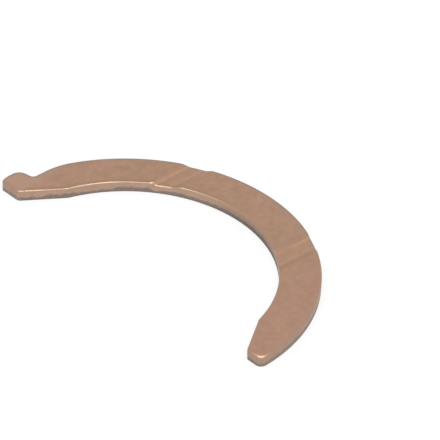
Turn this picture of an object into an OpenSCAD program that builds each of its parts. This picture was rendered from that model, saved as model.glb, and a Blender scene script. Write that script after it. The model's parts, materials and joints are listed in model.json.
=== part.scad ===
// Half thrust washer for a shaft of about 60 mm: a flat crescent blanked from
// strip, with two oil grooves across its running face and a lug at one end
// that keeps it from turning in its housing.
// The origin is on the shaft's axis, in the plane of the back face. +Y points
// to the crown of the crescent and +Z out of the running face.

/* [Ring] */
// Outside diameter of the ring
outer_d = 78; // [74:0.5:90]
// Inside diameter, which clears the shaft
inner_d = 60.8; // [56:0.2:63]
// Thickness between the back face and the running face
thickness = 2.35; // [1.8:0.05:4]
// Distance of both end faces from the plane that splits the bearing
split_gap = 0.5; // [0.2:0.1:1.5]

/* [Ends] */
// Width of each end face, before its corners are rounded
end_w = 4.1; // [3.2:0.1:5.5]
// Height over which the inside edge leans away from the shaft at each end
relief_h = 8.6; // [6:0.1:11]
// Radius of the corner between a relieved edge and its end face
foot_r = 1; // [0.5:0.1:1.5]
// Radius of the outer corners at both end faces
corner_r = 1.4; // [0.8:0.1:1.5]

/* [Lug] */
// How far the lug stands out past the outside diameter
lug_reach = 1.5; // [0.9:0.1:3]
// Width of the lug at its outer side, up from the end face
lug_w = 5; // [4:0.1:7]
// Slope of the lug's upper side, which climbs towards the ring
lug_slope = 12; // [0:1:18]
// Radius of the lug's upper corner
lug_r = 2; // [1:0.1:2.4]
// Depth of the neck above the lug, in from the outside diameter
neck_depth = 2.1; // [1.4:0.1:2.6]
// Radius in the corner between the lug and the neck
neck_r = 1; // [0.5:0.1:1.3]
// Radius that blends the neck into the outside diameter
blend_r = 15; // [8:0.5:20]

/* [Oil grooves] */
// Distance between the middles of the two grooves
groove_spacing = 34.5; // [26:0.1:40]
// How far the pair lies off the crown, as the strip was fed
groove_shift = -0.35; // [-1.5:0.05:1.5]
// Depth of the grooves below the running face
groove_depth = 0.5; // [0.3:0.02:0.9]
// Width of a groove's flat floor
groove_floor_w = 2.6; // [1.5:0.1:4]
// Width of the soft flank on each side of the floor
groove_flank_w = 2; // [1:0.1:3]

/* [Edges] */
// How far the rolled edge reaches in over the running face
roll_w = 0.27; // [0.15:0.01:0.6]
// How far the rolled edge drops down the wall
roll_depth = 0.2; // [0.15:0.01:0.5]

/* [Hidden] */
$fn = 96;

// Flat steps in the quarter round of the rolled edge
roll_steps = 3;
// Flat steps in the soft flank of a groove
flank_steps = 6;
// Distance that cutters run on past the metal
run_out = 3;
// Corner arcs are this much larger than a true fit, so that they cross the
// walls they join at a small angle
overlap = 1.003;

outer_r = outer_d / 2;
inner_r = inner_d / 2;
strip_r = outer_r + lug_reach + run_out;
lug_x = -(outer_r + lug_reach);
neck_x = -(outer_r - neck_depth);

// Foot and top of the relieved edge at the plain end, and its angle
relief_foot = [outer_r - end_w, split_gap];
relief_top_y = split_gap + relief_h;
relief_top = [sqrt(pow(inner_r, 2) - pow(relief_top_y, 2)), relief_top_y];
relief_angle = atan2(relief_top[1] - relief_foot[1], relief_foot[0] - relief_top[0]);

// Centre of the corner between the outside diameter and the plain end face,
// and the angle at which it meets that diameter
tip_y = split_gap + corner_r;
tip_angle = asin(tip_y / (outer_r - corner_r));
tip_x = (outer_r - corner_r) * cos(tip_angle);

// Centres of the lug's upper corner and of the hollow corner in the neck
lug_top_y = split_gap + lug_w;
lug_corner = [lug_x + lug_r, lug_top_y + lug_r * tan(lug_slope) - lug_r / cos(lug_slope)];
neck_corner_x = neck_x - neck_r;
neck_corner_y = lug_top_y + (neck_corner_x - lug_x) * tan(lug_slope) + neck_r / cos(lug_slope);

// Centre of the arc between the neck and the outside diameter, and the angle
// at which it meets that diameter
blend_x = neck_x + blend_r;
blend_y = sqrt(pow(outer_r - blend_r, 2) - pow(blend_x, 2));
blend_angle = atan2(blend_y, blend_x);

// Point of the rolled edge, from the wall at step 0 to the face at the last:
// how far from the wall, and at what height
function roll_point(step) =
    let (turn = 90 * step / roll_steps)
    [-roll_w * (1 - cos(turn)), thickness - roll_depth * (1 - sin(turn))];

// Outline of the cutter that leaves one edge of the washer: a straight wall at
// x = 0 with the metal on its left, and the rolled edge where the wall ends
function edge_points(reach) =
    let (face = roll_point(roll_steps))
    let (above = 2 * face - roll_point(roll_steps - 1))
    concat(
        [[reach, -run_out], [0, -run_out]],
        [for (step = [0 : roll_steps - 1]) roll_point(step)],
        [above, [above[0], thickness + run_out], [reach, thickness + run_out]]
    );

// Depth of a groove's flank at a share of its width, from 0 at the face to 1
function flank_depth(share) = groove_depth * pow(share, 2) * (3 - 2 * share);

// Cutter for a straight edge through a point, facing an angle
module straight_edge(point, facing, length, reach) {
    translate(point)
        rotate([90, 0, facing])
        linear_extrude(length, center = true)
        polygon(edge_points(reach));
}

// Cutter for an edge that bulges outwards from its centre
module round_edge(centre, radius, from, to, reach) {
    translate(centre)
        rotate_extrude(angle = to - from, start = from)
        translate([radius, 0])
        polygon(edge_points(reach));
}

// Cutter for a hollow edge all round its centre
module hollow_edge(centre, radius) {
    translate(centre)
        rotate_extrude()
        polygon([for (point = edge_points(radius)) [max(radius - point[0], 0), point[1]]]);
}

// Strip that the crescent is cut from
module strip() {
    cylinder(h = thickness, r = strip_r);
}

// Outside and inside edges of the ring
module ring_edges() {
    round_edge([0, 0], outer_r, -90, 180 - asin(neck_corner_y / outer_r), strip_r - outer_r + run_out);
    hollow_edge([0, 0], inner_r);
}

// Both end faces, in one line across the split
module end_faces() {
    straight_edge([0, split_gap], -90, 2 * strip_r, strip_r + run_out);
}

// Relieved inside edge of the plain end, with its corner at the end face
module relief() {
    facing = 270 - relief_angle;
    length = norm(relief_top - relief_foot) + 2 * run_out;
    foot_corner = [relief_foot[0] + foot_r * tan(relief_angle / 2), split_gap + foot_r];
    straight_edge((relief_foot + relief_top) / 2, facing, length, outer_r - inner_r);
    round_edge(foot_corner, foot_r * overlap, facing, 270, foot_r);
}

// Outer side of the lug and its two corners
module lug_edges() {
    low_corner = [lug_x + corner_r, split_gap + corner_r];
    straight_edge([lug_x, split_gap + lug_w / 2], 180, lug_w + 2 * run_out, 2 * run_out);
    round_edge(low_corner, corner_r * overlap, 180, 270, corner_r);
    round_edge(lug_corner, lug_r * overlap, 90 + lug_slope, 180, lug_r);
}

// Neck above the lug: the lug's upper side, the hollow corner, the neck's flat
// and the long arc that leads out to the outside diameter
module neck() {
    corner = [neck_corner_x, neck_corner_y];
    foot = corner + neck_r * [sin(lug_slope), -cos(lug_slope)];
    upper_l = (neck_corner_x - lug_x) / cos(lug_slope) + run_out;
    upper_middle = foot - upper_l / 2 * [cos(lug_slope), sin(lug_slope)];
    flat_l = outer_r - neck_corner_y;
    straight_edge(upper_middle, 90 + lug_slope, upper_l, 2 * neck_r);
    straight_edge([neck_x, neck_corner_y + flat_l / 2], 180, flat_l, strip_r + neck_x);
    hollow_edge(corner, neck_r * overlap);
    round_edge([blend_x, blend_y], blend_r * overlap, blend_angle, 180, run_out);
}

// One oil groove, right across the ring
module groove(middle_x) {
    half_w = groove_floor_w / 2 + groove_flank_w;
    step_w = groove_flank_w / flank_steps;
    flank = [
        for (step = [1 : flank_steps])
            [step * step_w - half_w, thickness - flank_depth(step / flank_steps)]
    ];
    above = [-half_w - step_w, thickness + flank_depth(1 / flank_steps)];
    left = concat([[above[0], thickness + run_out], above], flank);
    right = [for (i = [len(left) - 1 : -1 : 0]) [-left[i][0], left[i][1]]];
    translate([middle_x, outer_r + run_out])
        rotate([90, 0, 0])
        linear_extrude(outer_r + run_out - split_gap)
        polygon(concat(left, right));
}

// The washer: strip, less what each edge of the die and each groove takes away
module thrust_washer() {
    color("#b08d78")
        difference() {
            strip();
            ring_edges();
            end_faces();
            relief();
            mirror([1, 0])
                relief();
            round_edge([tip_x, tip_y], corner_r * overlap, -90, tip_angle, corner_r);
            lug_edges();
            neck();
            for (side = [-1, 1])
                groove(groove_shift + side * groove_spacing / 2);
        }
}

thrust_washer();
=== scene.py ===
# %% [markdown]
# # Half thrust washer
# A thrust washer is a flat ring that stops a shaft from sliding along its bearing. This one is half a
# ring: a crescent stamped out of bronze strip, with two oil grooves pressed across its running face and
# a lug at one end that sits in a notch. The lesson loads the measured solid as a frame, builds a finer
# skin over the same outline, and spends most of its effort on the things that make stamped metal look
# stamped: the rolled edge, the sheared wall and the faint grain of the strip.

# %% Load the frame
import json
import math
import bpy
import numpy as np
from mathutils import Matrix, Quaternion, Vector, noise

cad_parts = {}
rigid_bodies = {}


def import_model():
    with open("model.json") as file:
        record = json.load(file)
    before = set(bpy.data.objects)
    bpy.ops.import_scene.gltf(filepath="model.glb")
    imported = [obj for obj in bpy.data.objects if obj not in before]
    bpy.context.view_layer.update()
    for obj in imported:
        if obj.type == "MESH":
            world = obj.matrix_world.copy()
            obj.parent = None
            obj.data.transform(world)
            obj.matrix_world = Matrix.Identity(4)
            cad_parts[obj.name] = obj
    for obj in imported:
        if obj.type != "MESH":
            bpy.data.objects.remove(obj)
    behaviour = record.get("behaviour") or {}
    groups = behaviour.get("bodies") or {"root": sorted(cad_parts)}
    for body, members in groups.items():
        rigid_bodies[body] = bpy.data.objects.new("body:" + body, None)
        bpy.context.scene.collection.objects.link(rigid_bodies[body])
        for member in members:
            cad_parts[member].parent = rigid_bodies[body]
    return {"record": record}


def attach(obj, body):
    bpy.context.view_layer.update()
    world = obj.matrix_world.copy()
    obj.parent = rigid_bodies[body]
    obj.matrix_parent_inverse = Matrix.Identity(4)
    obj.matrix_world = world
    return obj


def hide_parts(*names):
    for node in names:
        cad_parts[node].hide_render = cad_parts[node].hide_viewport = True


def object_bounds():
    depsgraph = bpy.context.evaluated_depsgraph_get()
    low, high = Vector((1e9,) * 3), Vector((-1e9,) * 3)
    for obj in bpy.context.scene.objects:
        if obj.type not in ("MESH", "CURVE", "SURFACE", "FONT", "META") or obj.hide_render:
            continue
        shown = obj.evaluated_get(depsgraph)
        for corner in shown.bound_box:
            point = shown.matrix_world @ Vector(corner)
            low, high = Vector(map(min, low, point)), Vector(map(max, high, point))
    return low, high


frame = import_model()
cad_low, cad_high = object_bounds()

print("solid from", tuple(cad_low), "to", tuple(cad_high))

# %% [markdown]
# ## Sizes
# Whatever the frame can say is read from it: the outside radius, the thickness, the gap at the split and
# the reach of the lug come from the solid's box, and the inside radius from the mount that clears the
# shaft. The washer's other drawing sizes stand in the cells that first need them. Lengths are in
# millimetres and angles in degrees, and only the finished mesh is turned into Blender's metres.

# %% Read the sizes
MM = 0.001
mounts = {mount["name"]: mount for mount in frame["record"]["mounts"]}

OUTER_R = cad_high.y / MM
INNER_R = mounts["journal"]["dims"]["r_mm"]
THICKNESS = cad_high.z / MM
SPLIT_GAP = cad_low.y / MM
LUG_X = cad_low.x / MM

print(f"ring {2 * OUTER_R:.1f} x {2 * INNER_R:.1f} x {THICKNESS:.2f} mm")

# %% [markdown]
# ## Outline
# The crescent's edge is a chain of arcs and straight lines, and only where the relieved ends leave the
# bore do two of them meet at a kink. The chain could be drawn by hand as a Bezier curve, but a short
# helper for arcs keeps every radius true. A straight line needs no helper, because it is what joins the
# end of one arc to the start of the next. The chain is cut into four sides, two long and two short, and
# opposite sides get the same number of points. That lets a later step lay a clean grid over the face.

# %% Arcs and even spacing
AXIS = (0, 0)


def arc(centre, radius, start, stop, steps=48):
    """Points along an arc, with its angles in degrees."""
    turns = np.radians(np.linspace(start, stop, steps))
    return np.stack([centre[0] + radius * np.cos(turns), centre[1] + radius * np.sin(turns)], axis=1)


def on_arc(centre, radius, turn):
    """The point of an arc at one angle."""
    return arc(centre, radius, turn, turn, 1)[0]


def spaced(count, *paths):
    """Paths joined end to end, in count even steps."""
    path = np.concatenate(paths)
    lengths = np.concatenate([[0.0], np.cumsum(np.linalg.norm(np.diff(path, axis=0), axis=1))])
    at = np.linspace(0.0, lengths[-1], count + 1)
    return np.stack([np.interp(at, lengths, path[:, axis]) for axis in (0, 1)], axis=1)


print("a quarter of the bore in two steps:", spaced(2, arc(AXIS, INNER_R, 0, 90)).round(1).tolist())

# %% Corners of the two ends
END_W = 4.1
RELIEF_H = 8.6
FOOT_R = 1.0
CORNER_R = 1.4

relief_foot = (OUTER_R - END_W, SPLIT_GAP)
relief_top_angle = math.degrees(math.asin((SPLIT_GAP + RELIEF_H) / INNER_R))
relief_top = on_arc(AXIS, INNER_R, relief_top_angle)
relief_angle = math.degrees(math.atan2(relief_top[1] - relief_foot[1], relief_foot[0] - relief_top[0]))
foot_x = relief_foot[0] + FOOT_R * math.tan(math.radians(relief_angle / 2))
tip_foot = (foot_x, SPLIT_GAP + FOOT_R)
lug_foot = (-foot_x, SPLIT_GAP + FOOT_R)

tip_y = SPLIT_GAP + CORNER_R
tip_angle = math.degrees(math.asin(tip_y / (OUTER_R - CORNER_R)))
tip = ((OUTER_R - CORNER_R) * math.cos(math.radians(tip_angle)), tip_y)

print(f"relieved ends lean {relief_angle:.1f} degrees")

# %% Corners of the lug and the neck
LUG_W = 5.0
LUG_SLOPE = 12.0
LUG_R = 2.0
LUG_CORNER_R = 1.0
NECK_DEPTH = 2.1
NECK_R = 1.0
BLEND_R = 15.0

slope = math.radians(LUG_SLOPE)
lug_top_y = SPLIT_GAP + LUG_W
lug_low = (LUG_X + LUG_CORNER_R, SPLIT_GAP + LUG_CORNER_R)
lug_high = (LUG_X + LUG_R, lug_top_y + LUG_R * math.tan(slope) - LUG_R / math.cos(slope))

neck_x = -(OUTER_R - NECK_DEPTH)
neck_corner_x = neck_x - NECK_R
neck_corner_y = lug_top_y + (neck_corner_x - LUG_X) * math.tan(slope) + NECK_R / math.cos(slope)
neck = (neck_corner_x, neck_corner_y)
blend_x = neck_x + BLEND_R
blend = (blend_x, math.sqrt((OUTER_R - BLEND_R) ** 2 - blend_x ** 2))
blend_angle = math.degrees(math.atan2(blend[1], blend[0]))

print(f"neck blends into the ring at {blend_angle:.1f} degrees")

# %% Long sides
TIP_STEPS = 90
RING_STEPS = 330
LUG_STEPS = 110
RING_POINTS = 400
TIP_STATION = 20.0

# A long side meets a short one halfway round each rounded corner
tip_middle = (tip_angle - 90) / 2
lug_middle = 225
foot_turn = relief_angle / 2

outer_side = np.concatenate([
    spaced(
        TIP_STEPS,
        arc(tip, CORNER_R, tip_middle, tip_angle),
        arc(AXIS, OUTER_R, tip_angle, TIP_STATION),
    )[:-1],
    spaced(RING_STEPS, arc(AXIS, OUTER_R, TIP_STATION, blend_angle, RING_POINTS))[:-1],
    spaced(
        LUG_STEPS,
        arc(blend, BLEND_R, blend_angle, 180),
        arc(neck, NECK_R, 0, LUG_SLOPE - 90),
        arc(lug_high, LUG_R, 90 + LUG_SLOPE, 180),
        arc(lug_low, LUG_CORNER_R, 180, lug_middle),
    ),
])
inner_side = np.concatenate([
    spaced(
        TIP_STEPS,
        arc(tip_foot, FOOT_R, 270 - foot_turn, 270 - relief_angle),
        arc(AXIS, INNER_R, relief_top_angle, TIP_STATION),
    )[:-1],
    spaced(RING_STEPS, arc(AXIS, INNER_R, TIP_STATION, blend_angle, RING_POINTS))[:-1],
    spaced(
        LUG_STEPS,
        arc(AXIS, INNER_R, blend_angle, 180 - relief_top_angle),
        arc(lug_foot, FOOT_R, 270 + relief_angle, 270 + foot_turn),
    ),
])
print(len(outer_side), "points along the outside,", len(inner_side), "along the bore")

# %% Short sides, and the closed outline
END_STEPS = 34

tip_end = spaced(
    END_STEPS,
    arc(tip_foot, FOOT_R, 270 - foot_turn, 270),
    arc(tip, CORNER_R, -90, tip_middle),
)
lug_end = spaced(
    END_STEPS,
    arc(lug_foot, FOOT_R, 270 + foot_turn, 270),
    arc(lug_low, LUG_CORNER_R, 270, lug_middle),
)
loop = np.concatenate([outer_side[:-1], lug_end[:0:-1], inner_side[:0:-1], tip_end[:-1]])
LONG = len(outer_side) - 1
SHORT = END_STEPS
COUNT = len(loop)

ahead = np.roll(loop, -1, axis=0) - loop
ahead /= np.linalg.norm(ahead, axis=1, keepdims=True)
forward = ahead + np.roll(ahead, 1, axis=0)
outward = np.stack([forward[:, 1], -forward[:, 0]], axis=1)
outward /= np.linalg.norm(outward, axis=1, keepdims=True)

print(f"outline of {COUNT} points, {LONG} along and {SHORT} across")

# %% [markdown]
# ## Height of the running face
# Each oil groove is pressed into the strip before the crescent is cut, so its flanks are soft and it runs
# straight through from edge to edge. A groove could be cut with a Boolean modifier, which leaves a hard
# rim. Here the face is simply lowered by a smooth step instead, and everything that follows, the rolled
# edge included, takes its height from this one function. On the groove next to the lug, the flank on the
# lug's side stands steeper towards the bore, so the width of that flank depends on the radius.

# %% Groove profile
GROOVE_SPACING = 34.5
GROOVE_SHIFT = -0.35
GROOVE_DEPTH = 0.5
HALF_FLOOR = 1.3
FLANK_W = 2.0
STEEP_FLANK_W = 0.7
STEEP_REACH = 5.0


def eased(value, start, stop):
    """0 up to start and 1 from stop on, with a soft step between them."""
    share = np.clip((value - start) / (stop - start), 0.0, 1.0)
    return share * share * (3 - 2 * share)


def face_height(places):
    """Height of the running face above the back, at places in plan."""
    height = np.full(len(places), THICKNESS)
    near_bore = eased(np.hypot(places[:, 0], places[:, 1]), INNER_R + STEEP_REACH, INNER_R)
    for side in (-1, 1):
        across = places[:, 0] - GROOVE_SHIFT - side * GROOVE_SPACING / 2
        steep = near_bore * (across < 0) * (side < 0)
        flank = FLANK_W + (STEEP_FLANK_W - FLANK_W) * steep
        height -= GROOVE_DEPTH * eased(np.abs(across), HALF_FLOOR + flank, HALF_FLOOR)
    return height


groove_middle = np.array([[GROOVE_SHIFT + GROOVE_SPACING / 2, OUTER_R]])
print("face height at a groove's middle:", face_height(groove_middle))

# %% [markdown]
# ## Rolled edge
# A press tool leaves its mark on every edge. Where the punch enters, the face rolls over in a soft curve.
# That curve is broad along the bore, tight round the lug and full at the tip, and use has worn it down
# in places. A Bevel modifier has one width for all of it and can't follow the grooves, so each point of
# the outline gets a width and a drop of its own. The helpers give a value for every point of the outline:
# by side, by the distance from a place, by the turn round the bore, or by Blender's own noise, which
# comes out the same on every run.

# %% Values along the outline
SIDE_COUNTS = (LONG, SHORT, LONG, SHORT)
SOFTENING_ROUNDS = 5
SOFTENING_SHIFTS = (3, 1, -1, -3)
NOISE_FALLOFF = 1.0
NOISE_STEP = 2.0

loop_turn = np.degrees(np.arctan2(loop[:, 1], loop[:, 0]))


def by_side(outer, lug, inner, tip_side):
    """One value for each side of the outline, blended softly at the corners."""
    values = np.repeat([float(outer), lug, inner, tip_side], SIDE_COUNTS)
    for _ in range(SOFTENING_ROUNDS):
        values = sum(np.roll(values, shift) for shift in SOFTENING_SHIFTS) / len(SOFTENING_SHIFTS)
    return values


def close_to(place, near, far):
    """1 within a distance of a place, easing to 0 at a greater one."""
    return eased(np.hypot(loop[:, 0] - place[0], loop[:, 1] - place[1]), far, near)


def along_bore(stations):
    """Values given at some turns round the bore, with straight lines between them."""
    turns, values = zip(*stations)
    return np.interp(loop_turn, turns, values)


def wander(size, height=0.0, octaves=3):
    """Noise along the outline, from about -1 to 1, with features of a size in millimetres."""
    places = [Vector((x / size, y / size, height / size)) for x, y in loop]
    return np.array([noise.fractal(place, NOISE_FALLOFF, NOISE_STEP, octaves) for place in places])


at_bore = by_side(outer=0, lug=0, inner=1, tip_side=0)
print(f"{np.count_nonzero(at_bore > 0.5)} points of the outline belong to the bore")

# %% Width and drop of the roll
# Turn round the bore, and how much of the roll is left there
WORN_ROLL = (
    (0, 0.5), (84, 0.55), (100, 1.2), (128.2, 1.0), (128.6, 1.5), (130.2, 1.5), (131.2, 0.5), (140, 0.5),
    (146, 1.0), (162.5, 1.0), (165, 0.45), (170, 0.5), (172.5, 0.85), (177, 0.95), (177.6, 0.55),
    (178.2, 1.1), (180, 1.1),
)
LUG_CENTRE_IN = 0.8
CRISP_LUG = 0.55
RAGGED = 0.10
RAGGED_SIZE = 2.5
TIP_EXTRA_W = 0.92
TIP_EXTRA_DROP = 0.42
LUG_EXTRA_W = 0.32
LUG_EXTRA_DROP = 0.40

soft_tip = close_to(on_arc(tip, CORNER_R, tip_middle), near=0.0, far=2.6)
soft_lug = close_to(on_arc(lug_low, LUG_CORNER_R, lug_middle), near=0.4, far=2.0)
lug_centre = (LUG_X + LUG_CENTRE_IN, SPLIT_GAP + LUG_W / 2)
crisp = 1 - CRISP_LUG * close_to(lug_centre, near=3.0, far=4.5)
worn = 1 + at_bore * (along_bore(WORN_ROLL) - 1)

roll_w = by_side(outer=0.27, lug=0.40, inner=0.52, tip_side=0.18) * worn * crisp
roll_w = (roll_w + TIP_EXTRA_W * soft_tip + LUG_EXTRA_W * soft_lug) * (1 + RAGGED * wander(RAGGED_SIZE))
roll_drop = by_side(outer=0.20, lug=0.38, inner=0.52, tip_side=0.22) * worn * crisp
roll_drop = roll_drop + TIP_EXTRA_DROP * soft_tip + LUG_EXTRA_DROP * soft_lug

print(f"roll {roll_w.min():.2f} to {roll_w.max():.2f} mm wide, {roll_drop.max():.2f} mm deep at most")

# %% [markdown]
# ## Sheared wall
# Below the roll, the die shaves the wall smooth. Further down the metal tears off ahead of the die, and
# leaves a rough band that is slightly undercut. The line between the two climbs and falls along the edge.
# One tall strip of quads with a bump map would hide all this from the outline, so the wall is built as a
# stack of rings, and the rings below the break line are set in and roughened by noise.

# %% Break line and wear
# Turn round the bore, and the share of the wall's height that is torn there
TORN_AT_BORE = (
    (0, 0.52), (112, 0.54), (117, 0.55), (119, 0.6), (125, 0.58), (127, 0.46), (134, 0.46), (137, 0.58),
    (144, 0.54), (147, 0.36), (158, 0.38), (162, 0.52), (170.5, 0.55), (172, 0.40), (177, 0.36),
    (178.5, 0.44), (180, 0.44),
)
BREAK_WANDER = 0.14
BREAK_WANDER_SIZE = 3.0
STEADY_SHARE = 0.3
TIP_ROLL_HIGHLIGHT = 0.5

break_line = by_side(outer=0.45, lug=0.44, inner=0.0, tip_side=0.36) + at_bore * along_bore(TORN_AT_BORE)
unsteady = STEADY_SHARE + (1 - STEADY_SHARE) * at_bore
break_line += BREAK_WANDER * unsteady * wander(BREAK_WANDER_SIZE)

# The roll is painted paler on the bore's lug half and at the tip, as a painted highlight, and the walls are
# painted darker where they face away from the light, most of all the bore's wall on the tip's half, as
# painted shade
drawn = np.maximum(at_bore * eased(loop_turn, start=85, stop=110), TIP_ROLL_HIGHLIGHT * soft_tip)
wear = by_side(outer=0.3, lug=0.3, inner=0.0, tip_side=0.4) + at_bore * eased(loop_turn, start=115, stop=87)

print(f"torn band ends between {break_line.min():.2f} and {break_line.max():.2f} of the wall")

# %% Keep points in blocks, and the first two rings
BACK_BREAK = 0.03
SUPPORT = 0.1

# How far up a ring is: 0 at the back, 1 at the top of the wall and 2 on the face
ON_BACK = 0.0
ON_WALL_TOP = 1.0
ON_FACE = 2.0

MARKS = ("rim_mm", "climb", "wear", "break_share", "drawn")
blocks = []


def add_points(places, height, *values):
    """Keeps a block of points: their place in plan, their height and one value for each mark."""
    columns = [np.broadcast_to(column, len(places)) for column in (height, *values)]
    blocks.append(np.column_stack([places, *columns]))


def set_in(inset):
    """The outline moved inwards."""
    return loop - np.reshape(inset, (-1, 1)) * outward


def add_ring(inset, height, climb):
    """One closed ring, inside the outline by an inset."""
    add_points(set_in(inset), height, inset, climb, wear, break_line, drawn)


add_ring(BACK_BREAK + SUPPORT, 0.0, ON_BACK)
add_ring(BACK_BREAK, 0.0, ON_BACK)
print(len(blocks), "rings on the back")

# %% Rings up the wall and over the roll
WALL_SHARES = (0.03, 0.10, 0.17, 0.24, 0.31, 0.38, 0.45, 0.53, 0.63, 0.75, 0.88, 1.0)
ROLL_STEPS = 6
TEAR_BLEND = 0.12
TEAR_INSET = 0.05
TEAR_GRAIN = 0.03
TEAR_GRAIN_SIZE = 0.8

wall_top = face_height(loop) - roll_drop
for share in WALL_SHARES:
    torn_here = eased(break_line, share, share + TEAR_BLEND)
    undercut = TEAR_INSET + TEAR_GRAIN * wander(TEAR_GRAIN_SIZE, share * THICKNESS, octaves=4)
    add_ring(np.clip(torn_here * undercut, 0.0, None), share * wall_top, share * ON_WALL_TOP)
for step in range(1, ROLL_STEPS + 1):
    bend = math.pi / 2 * step / ROLL_STEPS
    inset = roll_w * (1 - math.cos(bend))
    height = face_height(set_in(inset)) - roll_drop * (1 - math.sin(bend))
    add_ring(inset, height, ON_WALL_TOP + step / ROLL_STEPS)
inset = roll_w + SUPPORT
add_ring(inset, face_height(set_in(inset)), ON_FACE)

RINGS = len(blocks)
print(f"{RINGS} rings of {COUNT} points")

# %% Quads between the rings
FACE = 0
WALL = 1
BACK = 2
quads = []
finishes = []

here = np.arange(COUNT)
following = np.roll(here, -1)
for ring in range(RINGS - 1):
    under = ring * COUNT
    over = under + COUNT
    quads.append(np.stack([under + here, under + following, over + following, over + here], axis=1))
    finish = BACK if ring == 0 else WALL if ring <= len(WALL_SHARES) else FACE
    finishes.append(np.full(COUNT, finish))

print(f"{sum(len(band) for band in quads)} quads between the rings")

# %% [markdown]
# ## Grid over each face
# The top ring is a closed loop. Filling it with one big polygon would leave nothing for the grooves to
# bend, so a grid is stretched between its four sides instead, which is what Blender's Grid Fill does by
# hand. Points inside follow the two long sides, and close to each end they also follow the short side.
# The back is filled the same way, with its quads turned to face down.

# %% Stretch a grid inside a ring
END_HOLD = 0.12


def ring_sides():
    """Indices along a ring's outer side, inner side, tip end and lug end."""
    outer = np.arange(0, LONG + 1)
    lug = np.arange(LONG, LONG + SHORT + 1)[::-1]
    inner = np.arange(LONG + SHORT, 2 * LONG + SHORT + 1)[::-1]
    tip_side = np.arange(2 * LONG + SHORT, COUNT + 1) % COUNT
    return outer, inner, tip_side, lug


def stretched_grid(places):
    """Places of the grid inside a ring, LONG by SHORT steps, from its four sides."""
    outer, inner, tip_side, lug = ring_sides()
    u = np.linspace(0, 1, LONG + 1)[:, None, None]
    v = np.linspace(0, 1, SHORT + 1)[None, :, None]
    grid = (1 - v) * places[inner][:, None] + v * places[outer][:, None]
    for end, hold in ((tip_side, 1 - u / END_HOLD), (lug, 1 - (1 - u) / END_HOLD)):
        straight = (1 - v) * places[end[0]] + v * places[end[-1]]
        grid = grid + np.clip(hold, 0, 1) ** 2 * (places[end][None] - straight)
    return grid


print("grid of", stretched_grid(blocks[0][:, :2]).shape[:2], "points")

# %% Fill the face and the back
# Inside a face there is no painted wall shade, no tear and no painted roll highlight
PLAIN = (0.0, 0.0, 0.0)


def fill(ring, upper, finish):
    """Adds the grid inside one ring, with its quads facing up or down."""
    places = stretched_grid(blocks[ring][:, :2])[1:-1, 1:-1].reshape(-1, 2)
    first = sum(len(block) for block in blocks)
    height = face_height(places) if upper else 0.0
    rim = np.sqrt([np.min(np.sum((loop - place) ** 2, axis=1)) for place in places])
    add_points(places, height, rim, ON_FACE if upper else ON_BACK, *PLAIN)

    outer, inner, tip_side, lug = ring_sides()
    index = np.zeros((LONG + 1, SHORT + 1), dtype=int)
    index[1:-1, 1:-1] = first + np.arange(len(places)).reshape(LONG - 1, SHORT - 1)
    index[:, 0] = ring * COUNT + inner
    index[:, -1] = ring * COUNT + outer
    index[0, :] = ring * COUNT + tip_side
    index[-1, :] = ring * COUNT + lug
    cells = np.stack([index[:-1, :-1], index[:-1, 1:], index[1:, 1:], index[1:, :-1]], axis=-1)
    cells = cells.reshape(-1, 4)
    quads.append(cells if upper else cells[:, ::-1])
    finishes.append(np.full(len(cells), finish))


fill(RINGS - 1, True, FACE)
fill(0, False, BACK)
points = np.concatenate(blocks)
print(f"{len(points)} points in all")

# %% [markdown]
# ## Marks on the mesh
# The finishes need to know where they are: how far from the edge, how far up the wall, how far across a
# groove. Each such value becomes an attribute of the mesh, which a material reads by name. Painting the
# same masks by hand as vertex colours would work as well, but these stay true when a size changes.

# %% Marks for the finishes
HALF_BLEND = 0.5
SHADE_FROM_TURN = 55
SHADE_OVER_TURN = 25
SHADE_LATER_AT_BORE = 30
LUG_TONE_FROM = 11
LUG_TONE_OVER = 6
LUG_TONE_LEAN = 3

x = points[:, 0]
y = points[:, 1]
marks = dict(zip(MARKS, points[:, 3:].T))

across = x - GROOVE_SHIFT
marks["groove_mm"] = across - np.sign(across) * GROOVE_SPACING / 2

ring_middle = (OUTER_R + INNER_R) / 2
bore_side = eased(np.hypot(x, y), ring_middle + HALF_BLEND, ring_middle - HALF_BLEND)
marks["bore_side"] = bore_side

# On the lug's half the edges and the roll are painted darker and greyer, as painted shade: the far rim's
# dark line, and a dark band beside the bright line along the bore
shade_from = SHADE_FROM_TURN + SHADE_LATER_AT_BORE * bore_side
dull_half = eased(np.degrees(np.arctan2(y, x)), shade_from, shade_from + SHADE_OVER_TURN)
marks["dull_half"] = dull_half * eased(y - SPLIT_GAP, start=0.4, stop=2.0)

from_lug = x + y / LUG_TONE_LEAN - LUG_X
marks["lug_side"] = eased(from_lug, LUG_TONE_FROM, LUG_TONE_FROM - LUG_TONE_OVER)
print("marks:", ", ".join(marks))

# %% Make the piece
skin = bpy.data.meshes.new("washer_skin")
skin.from_pydata((points[:, :3] * MM).tolist(), [], np.concatenate(quads).tolist())
skin.polygons.foreach_set("material_index", np.concatenate(finishes).astype(np.int32))
skin.polygons.foreach_set("use_smooth", np.ones(len(skin.polygons), dtype=bool))
for name, values in marks.items():
    skin.attributes.new(name, "FLOAT", "POINT").data.foreach_set("value", values.astype(np.float32))
skin.validate()
skin.update()

washer = bpy.data.objects.new("washer_body", skin)
bpy.context.collection.objects.link(washer)
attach(washer, "root")
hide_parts("thrust_washer")
print(f"washer_body: {len(skin.vertices)} points, {len(skin.polygons)} quads")

# %% [markdown]
# ## Shared effects
# The face, the wall and the back are the same strip of metal, so they share its cloudy colour, its grain
# and its dulled edges. Each effect is a node group, built once and placed in every material that needs
# it. A group hands out only colours and numbers. The shader itself stays in the material.

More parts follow.
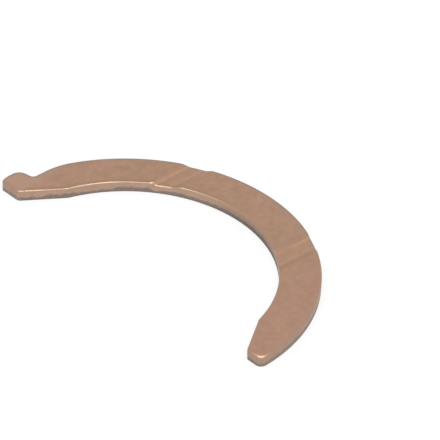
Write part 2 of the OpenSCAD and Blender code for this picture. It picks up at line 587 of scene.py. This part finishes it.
# %% Nodes and their sockets
def srgb(red, green, blue):
    """A colour as a picture shows it, from 0 to 255, as the linear colour that Blender mixes."""
    shares = [value / 255 for value in (red, green, blue)]
    linear = [s / 12.92 if s <= 0.04045 else ((s + 0.055) / 1.055) ** 2.4 for s in shares]
    return (*linear, 1.0)


def add(tree, kind, **settings):
    """A new node with its own settings."""
    node = tree.nodes.new(kind)
    for name, value in settings.items():
        setattr(node, name, value)
    return node


def feed(tree, node, **values):
    """Fills a node's inputs: sockets are linked, plain values are written in, and _0 is the first input."""
    for name, value in values.items():
        socket = node.inputs[int(name[1:]) if name[1:].isdigit() else name.replace("_", " ")]
        if isinstance(value, bpy.types.NodeSocket):
            tree.links.new(value, socket)
        else:
            socket.default_value = value
    return node


def new_group(name, inputs, outputs):
    """An empty shader group with named sockets. Colours are given as four numbers, and values as one."""
    tree = bpy.data.node_groups.new(name, "ShaderNodeTree")
    for label, default in inputs.items():
        kind = "NodeSocketColor" if isinstance(default, tuple) else "NodeSocketFloat"
        tree.interface.new_socket(label, in_out="INPUT", socket_type=kind).default_value = default
    for label, kind in outputs.items():
        tree.interface.new_socket(label, in_out="OUTPUT", socket_type=kind)
    return tree, add(tree, "NodeGroupInput").outputs, add(tree, "NodeGroupOutput")


print("linear value of a middle grey:", round(srgb(128, 128, 128)[0], 3))

# %% Sums, ranges, mixes and noise
def math_node(tree, operation, first, second=0.0):
    """The result of one sum."""
    node = add(tree, "ShaderNodeMath", operation=operation)
    return feed(tree, node, _0=first, _1=second).outputs[0]


def ranged(tree, value, start, stop, at_start=0.0, at_stop=1.0):
    """A number eased from one at start to another at stop, as a value grows or falls."""
    node = add(tree, "ShaderNodeMapRange", interpolation_type="SMOOTHSTEP")
    feed(tree, node, Value=value, From_Min=start, From_Max=stop, To_Min=at_start, To_Max=at_stop)
    return node.outputs[0]


def mixed(tree, share, first, second, blend_type="MIX"):
    """Two colours mixed by a share."""
    node = add(tree, "ShaderNodeMix", data_type="RGBA", blend_type=blend_type)
    return feed(tree, node, _0=share, _6=first, _7=second).outputs[2]


def clouds(tree, scale, detail=3.0, roughness=0.55):
    """Noise in the washer's own frame, with its scale in features per millimetre along each axis."""
    place = add(tree, "ShaderNodeTexCoord").outputs["Object"]
    stretch = add(tree, "ShaderNodeMapping")
    feed(tree, stretch, Vector=place, Scale=tuple(share / MM for share in scale))
    texture = add(tree, "ShaderNodeTexNoise")
    feed(tree, texture, Vector=stretch.outputs[0], Scale=1.0, Detail=detail, Roughness=roughness)
    return texture.outputs[0]


print(f"a quarter of the way along, an ease has reached {eased(0.25, 0, 1):.3f}")

# %% [markdown]
# ### Cloudy strip
# Rolled bronze is never one colour: it drifts between rosy and golden over a few millimetres, with a
# finer freckle on top. Two layers of noise are enough, and a photo texture would only lock in one light.

# %% Group: cloudy strip
NOISE_MIDDLE = 0.5
FRECKLE_GAIN = 4.0

strip, given, strip_out = new_group(
    "cloudy_strip",
    {"Rosy": srgb(173, 136, 116), "Golden": srgb(170, 137, 113), "Freckle": 0.10},
    {"Color": "NodeSocketColor", "Cloud": "NodeSocketFloat"},
)
drift = ranged(strip, clouds(strip, scale=(0.16, 0.10, 0.16)), start=0.36, stop=0.64)
base = mixed(strip, drift, given["Rosy"], given["Golden"])
freckle = math_node(strip, "SUBTRACT", clouds(strip, scale=(0.7, 0.55, 0.7)), NOISE_MIDDLE)
freckle = math_node(strip, "MULTIPLY", given["Freckle"], freckle)
gain = math_node(strip, "ADD", 1.0, math_node(strip, "MULTIPLY", freckle, FRECKLE_GAIN))
gain_grey = feed(strip, add(strip, "ShaderNodeCombineColor"), Red=gain, Green=gain, Blue=gain).outputs[0]
feed(strip, strip_out, Color=mixed(strip, 1.0, base, gain_grey, "MULTIPLY"), Cloud=drift)
print("group", strip.name)

# %% [markdown]
# ### Grain
# The mill and the lapping plate leave fine lines that all run one way, here along the grooves. A picture
# of brushed metal could give them, but its repeats would show. Noise that is squeezed across that
# direction and drawn out along it never repeats, and a second, sparser layer picks out single scratches.

# %% Group: strip grain
grain, given, grain_out = new_group(
    "strip_grain", {}, {"Height": "NodeSocketFloat", "Scratch": "NodeSocketFloat"},
)
mill_lines = clouds(grain, scale=(5.0, 0.22, 5.0), detail=2.0, roughness=0.5)
long_lines = clouds(grain, scale=(2.2, 0.05, 2.2), detail=1.0, roughness=0.4)
feed(grain, grain_out, Height=mill_lines, Scratch=ranged(grain, long_lines, start=0.66, stop=0.72))
print("group", grain.name)

# %% [markdown]
# ### Edge band
# A narrow band along every edge takes a tone that each material chooses; on the running face it is painted
# shade. Blender's Pointiness finds edges too, but the width it gives depends on how dense the mesh is. This
# mesh carries each point's distance to the outline, so the band keeps its width all round, broken up a
# little by noise.

# %% Group: edge band
def carried(tree, name):
    """A mark that the mesh carries."""
    return add(tree, "ShaderNodeAttribute", attribute_name=name).outputs["Fac"]


edge_band, given, band_out = new_group(
    "edge_band", {"Width": 0.6, "Break up": 0.3}, {"Mask": "NodeSocketFloat"},
)
frayed = math_node(edge_band, "SUBTRACT", clouds(edge_band, scale=(0.7, 0.7, 0.7)), NOISE_MIDDLE)
frayed = math_node(edge_band, "MULTIPLY", frayed, given["Break up"])
from_edge = math_node(edge_band, "ADD", carried(edge_band, "rim_mm"), frayed)
from_edge = math_node(edge_band, "DIVIDE", from_edge, given["Width"])
feed(edge_band, band_out, Mask=ranged(edge_band, from_edge, 0.2, 1.0, at_start=1.0, at_stop=0.0))
print("group", edge_band.name)

# %% [markdown]
# ## Running face
# The face is matt and even, a little rougher where the cloud is golden. A band along its edges is painted
# darker and greyer on the lug's half, as painted shade, and the lug itself is paler. In each groove the
# colour carries stripes: a golden floor, a painted highlight along the foot of each flank and painted shade
# on each shoulder. They could be left to the light alone, but so shallow a groove then all but vanishes.
# The rolled edge is smoother than the face, which lets it catch the light as a thin bright line, and where
# that line runs its colour is painted paler and creamier, as a painted highlight. Metal gets its colour
# from what it reflects, so the whole material is metallic.

# %% Material helpers
def new_material(name):
    """A material with one Principled shader and its tree."""
    material = bpy.data.materials.new(name)
    material.use_nodes = True
    return material, material.node_tree, material.node_tree.nodes["Principled BSDF"]


def placed(tree, group, **values):
    """A copy of a shared effect, with its own values."""
    node = add(tree, "ShaderNodeGroup", node_tree=group)
    return feed(tree, node, **values).outputs


def between(tree, share, first, second):
    """A number eased from one to another as a share grows from 0 to 1."""
    return ranged(tree, share, 0.0, 1.0, first, second)


def tinted(tree, colour, tone, mask, strength):
    """A colour drawn towards a tone where a mask is set."""
    return mixed(tree, math_node(tree, "MULTIPLY", mask, strength), colour, tone)


def bumped(tree, height, strength, depth):
    """A normal that follows a height, with its depth in millimetres."""
    node = add(tree, "ShaderNodeBump")
    return feed(tree, node, Strength=strength, Distance=depth * MM, Height=height).outputs[0]


print("effects to place:", strip.name, grain.name, edge_band.name)

# %% Running face: edges and lug
BORE_EDGE = srgb(169, 136, 117)
BORE_EDGE_SHADED = srgb(159, 126, 101)
OUTER_EDGE = srgb(169, 138, 119)
OUTER_EDGE_SHADED = srgb(154, 135, 122)
LUG_TONE = srgb(181, 148, 127)
SCRATCH_TONE = srgb(164, 128, 110)
OUTER_BAND_W = 1.1
BORE_BAND_W = 1.7

face_material, tree, shader = new_material("bronze_running_face")
cloudy = placed(tree, strip)
lines = placed(tree, grain)
bore_share = carried(tree, "bore_side")
lug_half_shade_share = carried(tree, "dull_half")
band_w = between(tree, bore_share, OUTER_BAND_W, BORE_BAND_W)
band = placed(tree, edge_band, Width=band_w, Break_up=0.3)
# Painted shade: on the lug's half the edge band turns darker and greyer
bore_tone = mixed(tree, lug_half_shade_share, BORE_EDGE, BORE_EDGE_SHADED)
outer_tone = mixed(tree, lug_half_shade_share, OUTER_EDGE, OUTER_EDGE_SHADED)
edge_tone = mixed(tree, bore_share, outer_tone, bore_tone)

colour = tinted(tree, cloudy["Color"], LUG_TONE, carried(tree, "lug_side"), strength=0.7)
colour = tinted(tree, colour, edge_tone, band["Mask"], strength=0.8)
colour = tinted(tree, colour, SCRATCH_TONE, lines["Scratch"], strength=0.4)
print(face_material.name, "has its edges")

# %% Running face: stripes in the grooves
# Where each stripe runs, in millimetres from a groove's middle towards the tip. The feet are painted
# highlights and the shoulders painted shade
STRIPES = {
    "floor": {"at": 0.0, "fade": 2.4, "core": 1.2, "strength": 0.40, "tone": srgb(174, 139, 112)},
    "lug shoulder": {"at": -2.7, "fade": 1.0, "core": 0.3, "strength": 0.45, "tone": srgb(160, 127, 107)},
    "lug foot": {"at": -1.7, "fade": 0.55, "core": 0.1, "strength": 0.50, "tone": srgb(186, 151, 120)},
    "tip foot": {"at": 1.0, "fade": 0.5, "core": 0.1, "strength": 0.40, "tone": srgb(184, 149, 124)},
    "tip shoulder": {"at": 2.9, "fade": 1.3, "core": 0.3, "strength": 0.50, "tone": srgb(170, 134, 106)},
}
LUG_FOOT_AT_BORE = 0.2
LUG_FOOT_AT_SHADED_BORE = 0.8


def stripe(tree, across, at, fade, core):
    """A mask along a line: 1 within core of it, and 0 from fade on."""
    away = math_node(tree, "ABSOLUTE", math_node(tree, "SUBTRACT", across, at))
    return ranged(tree, away, start=fade, stop=core)


across_groove = carried(tree, "groove_mm")
bore_hold = between(tree, lug_half_shade_share, LUG_FOOT_AT_BORE, LUG_FOOT_AT_SHADED_BORE)
for name, row in STRIPES.items():
    mask = stripe(tree, across_groove, row["at"], row["fade"], row["core"])
    if name == "lug foot":
        mask = math_node(tree, "MULTIPLY", mask, between(tree, bore_share, 1.0, bore_hold))
    colour = tinted(tree, colour, row["tone"], mask, row["strength"])
print("stripes:", ", ".join(STRIPES))

# %% Running face: roll and shader
ROLL_TONE = srgb(172, 140, 119)
ROLL_TONE_SHADED = srgb(158, 136, 122)
ROLL_TONE_HIGHLIGHT = srgb(177, 151, 131)
ROLL_FULL_AT = 1.6
ROLL_GONE_AT = 1.95

rolled = ranged(tree, carried(tree, "climb"), start=ROLL_GONE_AT, stop=ROLL_FULL_AT)
# Painted shade greys the roll on the lug's half, and a painted highlight makes it paler and creamier where
# the bright line runs
roll_tone = mixed(tree, lug_half_shade_share, ROLL_TONE, ROLL_TONE_SHADED)
roll_tone = mixed(tree, carried(tree, "drawn"), roll_tone, ROLL_TONE_HIGHLIGHT)
colour = mixed(tree, rolled, colour, roll_tone)

rough = between(tree, cloudy["Cloud"], 0.40, 0.46)
roll_polish = between(tree, bore_share, 0.07, 0.13)
rough = math_node(tree, "SUBTRACT", rough, math_node(tree, "MULTIPLY", rolled, roll_polish))
normal = bumped(tree, lines["Height"], strength=0.12, depth=0.02)
feed(tree, shader, Base_Color=colour, Roughness=rough, Normal=normal, Metallic=1.0)
skin.materials.append(face_material)
print("material", face_material.name)

# %% [markdown]
# ## Wall finish
# The upper part of the wall is shaved bronze with fine upright lines from the die, and it is brightest
# just above the tear. The torn part is grey, rough and pitted. Walls that face away from the light are
# painted darker, as painted shade. The mesh carries the break line, and noise frays it here, finer than
# the rings of the mesh could.

# %% Sheared wall: where it is torn
FRAY = 0.65
FRAY_HALF = 0.17
BRIGHT_FROM = 0.10
BRIGHT_TO = 0.50

wall_material, tree, shader = new_material("bronze_sheared_wall")
fray = math_node(tree, "SUBTRACT", clouds(tree, scale=(0.8, 0.8, 0.5), detail=4.0), NOISE_MIDDLE)
above_break = math_node(tree, "ADD", carried(tree, "climb"), math_node(tree, "MULTIPLY", fray, FRAY))
above_break = math_node(tree, "SUBTRACT", above_break, carried(tree, "break_share"))
torn = ranged(tree, above_break, start=FRAY_HALF, stop=-FRAY_HALF)
just_above = ranged(tree, above_break, start=BRIGHT_TO, stop=BRIGHT_FROM)
print(wall_material.name, "has its tear")

# %% Sheared wall: tones and shader
TORN_OUTSIDE = srgb(172, 157, 146)
TORN_INSIDE = srgb(150, 136, 127)
TORN_SHADED = srgb(130, 120, 114)
PIT_TONE = srgb(104, 94, 90)
BRIGHT_TONE = srgb(186, 155, 138)
STREAK_TONE = srgb(160, 132, 114)
SHAVED_SHADED = srgb(152, 128, 114)
EDGE_TINT = (0.80, 0.78, 0.77, 1.0)
SHAVED_ROUGH = 0.34
TORN_EXTRA_ROUGH = 0.24

# Painted shade: walls that face away from the light are drawn towards darker tones
wall_shade_share = carried(tree, "wear")
pits = clouds(tree, scale=(3.0, 3.0, 3.0), detail=4.0, roughness=0.65)
torn_tone = mixed(tree, carried(tree, "bore_side"), TORN_OUTSIDE, TORN_INSIDE)
torn_tone = mixed(tree, wall_shade_share, torn_tone, TORN_SHADED)
torn_tone = tinted(tree, torn_tone, PIT_TONE, ranged(tree, pits, start=0.6, stop=0.35), strength=0.45)

upright = clouds(tree, scale=(2.6, 2.6, 0.25), roughness=0.6)
cloudy = placed(tree, strip, Rosy=srgb(185, 151, 129), Golden=srgb(184, 152, 126), Freckle=0.10)
shaved = tinted(tree, cloudy["Color"], BRIGHT_TONE, just_above, strength=0.8)
shaved = tinted(tree, shaved, STREAK_TONE, ranged(tree, upright, start=0.35, stop=0.7), strength=0.35)
shaved = tinted(tree, shaved, SHAVED_SHADED, wall_shade_share, strength=0.8)

colour = mixed(tree, torn, shaved, torn_tone)
rough = math_node(tree, "ADD", SHAVED_ROUGH, math_node(tree, "MULTIPLY", torn, TORN_EXTRA_ROUGH))
lines_and_pits = math_node(tree, "ADD", upright, math_node(tree, "MULTIPLY", torn, pits))
normal = bumped(tree, lines_and_pits, strength=0.35, depth=0.03)
feed(tree, shader, Base_Color=colour, Roughness=rough, Normal=normal, Metallic=1.0)
feed(tree, shader, Specular_Tint=EDGE_TINT)
skin.materials.append(wall_material)
print("material", wall_material.name)

# %% [markdown]
# ## Back
# The back lies against the housing. It is the mill side of the strip: duller, a little greyer and more
# scratched than the running face, with the same cloud and the same grain. It could share the face's
# material, but then both sides would look freshly lapped.

# %% Material: back
BACK_EDGE = srgb(120, 108, 102)
BACK_SCRATCH = srgb(184, 152, 132)

back_material, tree, shader = new_material("bronze_back")
cloudy = placed(tree, strip, Rosy=srgb(160, 132, 116), Golden=srgb(158, 132, 110), Freckle=0.12)
lines = placed(tree, grain)
band = placed(tree, edge_band, Width=0.6, Break_up=0.5)
colour = tinted(tree, cloudy["Color"], BACK_EDGE, band["Mask"], strength=0.6)
colour = tinted(tree, colour, BACK_SCRATCH, lines["Scratch"], strength=0.5)
rough = between(tree, cloudy["Cloud"], 0.46, 0.54)
normal = bumped(tree, lines["Height"], strength=0.3, depth=0.02)
feed(tree, shader, Base_Color=colour, Roughness=rough, Normal=normal, Metallic=1.0)
skin.materials.append(back_material)
print("material", back_material.name)

# %% [markdown]
# ## Floor
# A plain white floor. The camera and the metal's reflections see mostly a steady white, and the rest is a
# matt surface that takes the washer's shadow. More light would whiten plain paper too, but it would burn
# out the bronze.

# %% Floor
FLOOR_HALF = 3.0
FLOOR_DROP = 0.01 * MM
STEADY_WHITE = 0.8
PAPER = (0.85, 0.85, 0.85, 1.0)
WHITE = (1.0, 1.0, 1.0, 1.0)

signs = ((-1, -1), (1, -1), (1, 1), (-1, 1))
corners = [(a * FLOOR_HALF, b * FLOOR_HALF, -FLOOR_DROP) for a, b in signs]
floor_mesh = bpy.data.meshes.new("floor")
floor_mesh.from_pydata(corners, [], [(0, 1, 2, 3)])
floor = bpy.data.objects.new("floor", floor_mesh)
bpy.context.collection.objects.link(floor)

paper = bpy.data.materials.new("white_paper")
paper.use_nodes = True
tree = paper.node_tree
tree.nodes.clear()
rays = add(tree, "ShaderNodeLightPath").outputs
seen = math_node(tree, "MAXIMUM", rays["Is Camera Ray"], rays["Is Glossy Ray"])
steady_share = math_node(tree, "MULTIPLY", seen, STEADY_WHITE)
matt = feed(tree, add(tree, "ShaderNodeBsdfDiffuse"), Color=PAPER).outputs[0]
steady = feed(tree, add(tree, "ShaderNodeEmission"), Color=WHITE, Strength=1.0).outputs[0]
both = feed(tree, add(tree, "ShaderNodeMixShader"), _0=steady_share, _1=matt, _2=steady).outputs[0]
feed(tree, add(tree, "ShaderNodeOutputMaterial"), Surface=both)
floor_mesh.materials.append(paper)
print("floor", 2 * FLOOR_HALF, "m across")

# %% [markdown]
# ## Light
# A soft studio: the room grows brighter from the horizon to the ceiling, and one large soft box stands
# above the camera. A picture of a studio wrapped round the scene would light it as well, but a gradient
# and one lamp are easier to adjust. The gradient gives the two flanks of a groove different tones, and
# the soft box draws the bright line along the rolled edges that face the viewer.

# %% Room
HORIZON_LIGHT = 0.92
CEILING_LIGHT = 1.0
CEILING_FROM = 0.6

world = bpy.data.worlds.new("studio")
bpy.context.scene.world = world
world.use_nodes = True
tree = world.node_tree
upwards = add(tree, "ShaderNodeSeparateXYZ")
feed(tree, upwards, Vector=add(tree, "ShaderNodeTexCoord").outputs["Generated"])
room_light = ranged(tree, upwards.outputs["Z"], 0.0, CEILING_FROM, HORIZON_LIGHT, CEILING_LIGHT)
feed(tree, tree.nodes["Background"], Color=WHITE, Strength=room_light)
print("room light from", HORIZON_LIGHT, "to", CEILING_LIGHT)

# %% Soft box
VIEW_AZIMUTH = 46.876
KEY_ELEVATION = 79
KEY_DISTANCE = 0.6
KEY_WIDTH = 0.5
KEY_DEPTH = 0.36
KEY_WATTS = 1.4


def towards(azimuth, elevation):
    """Unit vector from the washer to a place at an azimuth and elevation, as the camera counts them."""
    a = math.radians(azimuth)
    e = math.radians(elevation)
    return Vector((math.sin(a) * math.cos(e), -math.cos(a) * math.cos(e), math.sin(e)))


def aim(holder, direction):
    """Turns a lamp or camera to look along a direction."""
    holder.rotation_mode = "QUATERNION"
    holder.rotation_quaternion = direction.to_track_quat("-Z", "Y")


lamp = bpy.data.lights.new("key_box", "AREA")
lamp.shape = "RECTANGLE"
lamp.size = KEY_WIDTH
lamp.size_y = KEY_DEPTH
lamp.energy = KEY_WATTS

centre = (cad_low + cad_high) / 2
key = bpy.data.objects.new("key_box", lamp)
key.location = centre + towards(VIEW_AZIMUTH, KEY_ELEVATION) * KEY_DISTANCE
aim(key, centre - key.location)
key.visible_camera = False
bpy.context.collection.objects.link(key)
print("soft box at", tuple(round(value, 3) for value in key.location))

# %% [markdown]
# ## Camera
# The washer is seen from about a metre away through a long lens, looking down at 36 degrees. The view is
# set by the point looked at, two angles, a distance and a slight roll of the camera. Placing the camera
# by eye would do for a picture, but numbers can be fitted to the outline and kept.

# %% Camera
LOOK_AT = Vector((-3.119, 27.808, 0.0)) * MM
VIEW_DISTANCE = 999.4 * MM
VIEW_ELEVATION = 35.944
VIEW_ROLL = 1.738
LENS = 398.9
SENSOR = 36.0
VIEW_AXIS = (0, 0, 1)

eye = bpy.data.cameras.new("camera")
eye.lens = LENS
eye.sensor_width = SENSOR

camera = bpy.data.objects.new("camera", eye)
to_camera = towards(VIEW_AZIMUTH, VIEW_ELEVATION)
camera.location = LOOK_AT + to_camera * VIEW_DISTANCE
aim(camera, -to_camera)
camera.rotation_quaternion = camera.rotation_quaternion @ Quaternion(VIEW_AXIS, math.radians(VIEW_ROLL))
bpy.context.collection.objects.link(camera)
bpy.context.scene.camera = camera
bpy.context.scene.view_settings.view_transform = "Standard"
print("camera at", tuple(round(value, 3) for value in camera.location))
